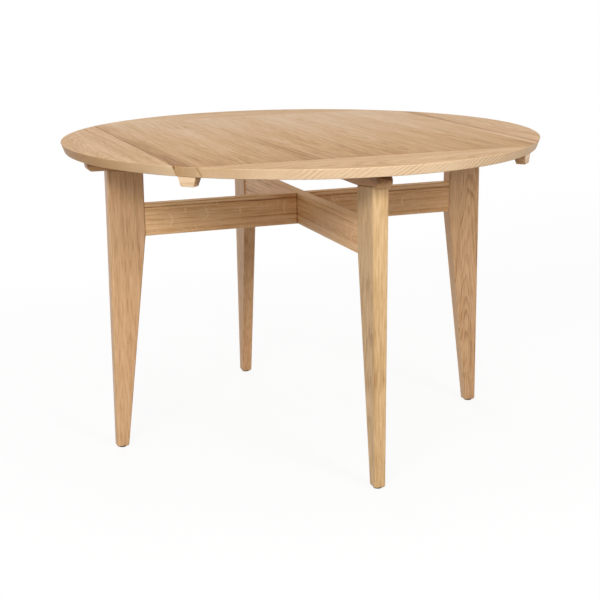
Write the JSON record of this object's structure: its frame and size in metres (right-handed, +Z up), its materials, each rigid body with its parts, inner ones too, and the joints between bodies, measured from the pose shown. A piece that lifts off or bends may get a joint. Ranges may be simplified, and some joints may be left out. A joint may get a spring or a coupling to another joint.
{
  "type": "extending dining table",
  "caption": "Dining table whose square swivel top becomes round when its hinged D-shaped leaves are raised, on a crossed frame of tapered legs, rails and bearers.",
  "frame": {"origin": "on the floor under the swivel, at the centre of the table", "axes": "+Z up, +X along the left-right rail towards the right leg, -Y towards the front leg"},
  "size_m": [1.1668, 1.1668, 0.75],
  "materials": {
    "oak_panel": "pale oak, satin oil",
    "oak_leaf": "pale oak, satin oil",
    "oak_block": "pale oak, satin oil",
    "oak_frame": "oak, satin oil",
    "beech_dowel": "plain",
    "zinc_steel": "zinc plated",
    "zinc_screw": "zinc plated",
    "bronze_bush": "plain bearing bronze",
    "glide_plastic": "matt",
    "slip_plastic": "smooth"
  },
  "bodies": {
    "base": {"front_leg": "oak_frame", "rear_leg": "oak_frame", "left_leg": "oak_frame", "right_leg": "oak_frame", "front_foot_glide": "glide_plastic", "rear_foot_glide": "glide_plastic", "left_foot_glide": "glide_plastic", "right_foot_glide": "glide_plastic", "front_slip_pad": "slip_plastic", "rear_slip_pad": "slip_plastic", "left_slip_pad": "slip_plastic", "right_slip_pad": "slip_plastic", "left_right_rail": "oak_frame", "front_rear_rail": "oak_frame", "left_right_bearer": "oak_frame", "front_rear_bearer": "oak_frame", "swivel_base_plate": "zinc_steel", "swivel_base_screws": "zinc_screw", "pivot_bush": "bronze_bush"},
    "swivel": {"swivel_plate": "zinc_steel", "pivot_pin": "zinc_steel", "stop_pin": "zinc_steel", "locating_pins": "zinc_steel"},
    "top": {"top_panel": "oak_panel", "block_dowels": "beech_dowel", "top_socket_plate": "zinc_steel", "top_socket_screws": "zinc_screw", "rear_right_block": "oak_block", "rear_left_block": "oak_block", "front_left_block": "oak_block", "front_right_block": "oak_block", "front_hinge_panel_flaps": "zinc_steel", "front_hinge_pins": "zinc_steel", "front_panel_screws": "zinc_screw", "rear_hinge_panel_flaps": "zinc_steel", "rear_hinge_pins": "zinc_steel", "rear_panel_screws": "zinc_screw", "left_hinge_panel_flaps": "zinc_steel", "left_hinge_pins": "zinc_steel", "left_panel_screws": "zinc_screw", "right_hinge_panel_flaps": "zinc_steel", "right_hinge_pins": "zinc_steel", "right_panel_screws": "zinc_screw"},
    "front_leaf": {"front_leaf": "oak_leaf", "front_hinge_leaf_flaps": "zinc_steel", "front_leaf_screws": "zinc_screw"},
    "rear_leaf": {"rear_leaf": "oak_leaf", "rear_hinge_leaf_flaps": "zinc_steel", "rear_leaf_screws": "zinc_screw"},
    "left_leaf": {"left_leaf": "oak_leaf", "left_hinge_leaf_flaps": "zinc_steel", "left_leaf_screws": "zinc_screw"},
    "right_leaf": {"right_leaf": "oak_leaf", "right_hinge_leaf_flaps": "zinc_steel", "right_leaf_screws": "zinc_screw"}
  },
  "joints": [
    {"name": "top_turn", "type": "hinge", "parent": "base", "child": "swivel", "pos_m": [0, 0, 0.72], "axis": [0, 0, 1], "range_deg": [0, 45]},
    {"name": "top_lift", "type": "slide", "parent": "swivel", "child": "top", "axis": [0, 0, 1], "range_m": [0, 0.25]},
    {"name": "front_leaf_drop", "type": "hinge", "parent": "top", "child": "front_leaf", "pos_m": [0, -0.4235, 0.723], "axis": [1, 0, 0], "range_deg": [0, 90]},
    {"name": "rear_leaf_drop", "type": "hinge", "parent": "top", "child": "rear_leaf", "pos_m": [0, 0.4235, 0.723], "axis": [-1, 0, 0], "range_deg": [0, 90]},
    {"name": "left_leaf_drop", "type": "hinge", "parent": "top", "child": "left_leaf", "pos_m": [-0.4235, 0, 0.723], "axis": [0, -1, 0], "range_deg": [0, 90]},
    {"name": "right_leaf_drop", "type": "hinge", "parent": "top", "child": "right_leaf", "pos_m": [0.4235, 0, 0.723], "axis": [0, 1, 0], "range_deg": [0, 90]}
  ],
  "couplings": [
    {"joint": "front_leaf_drop", "follows": "top_lift", "rad_per_m": 6.2832},
    {"joint": "rear_leaf_drop", "follows": "top_lift", "rad_per_m": 6.2832},
    {"joint": "left_leaf_drop", "follows": "top_lift", "rad_per_m": 6.2832},
    {"joint": "right_leaf_drop", "follows": "top_lift", "rad_per_m": 6.2832}
  ]
}
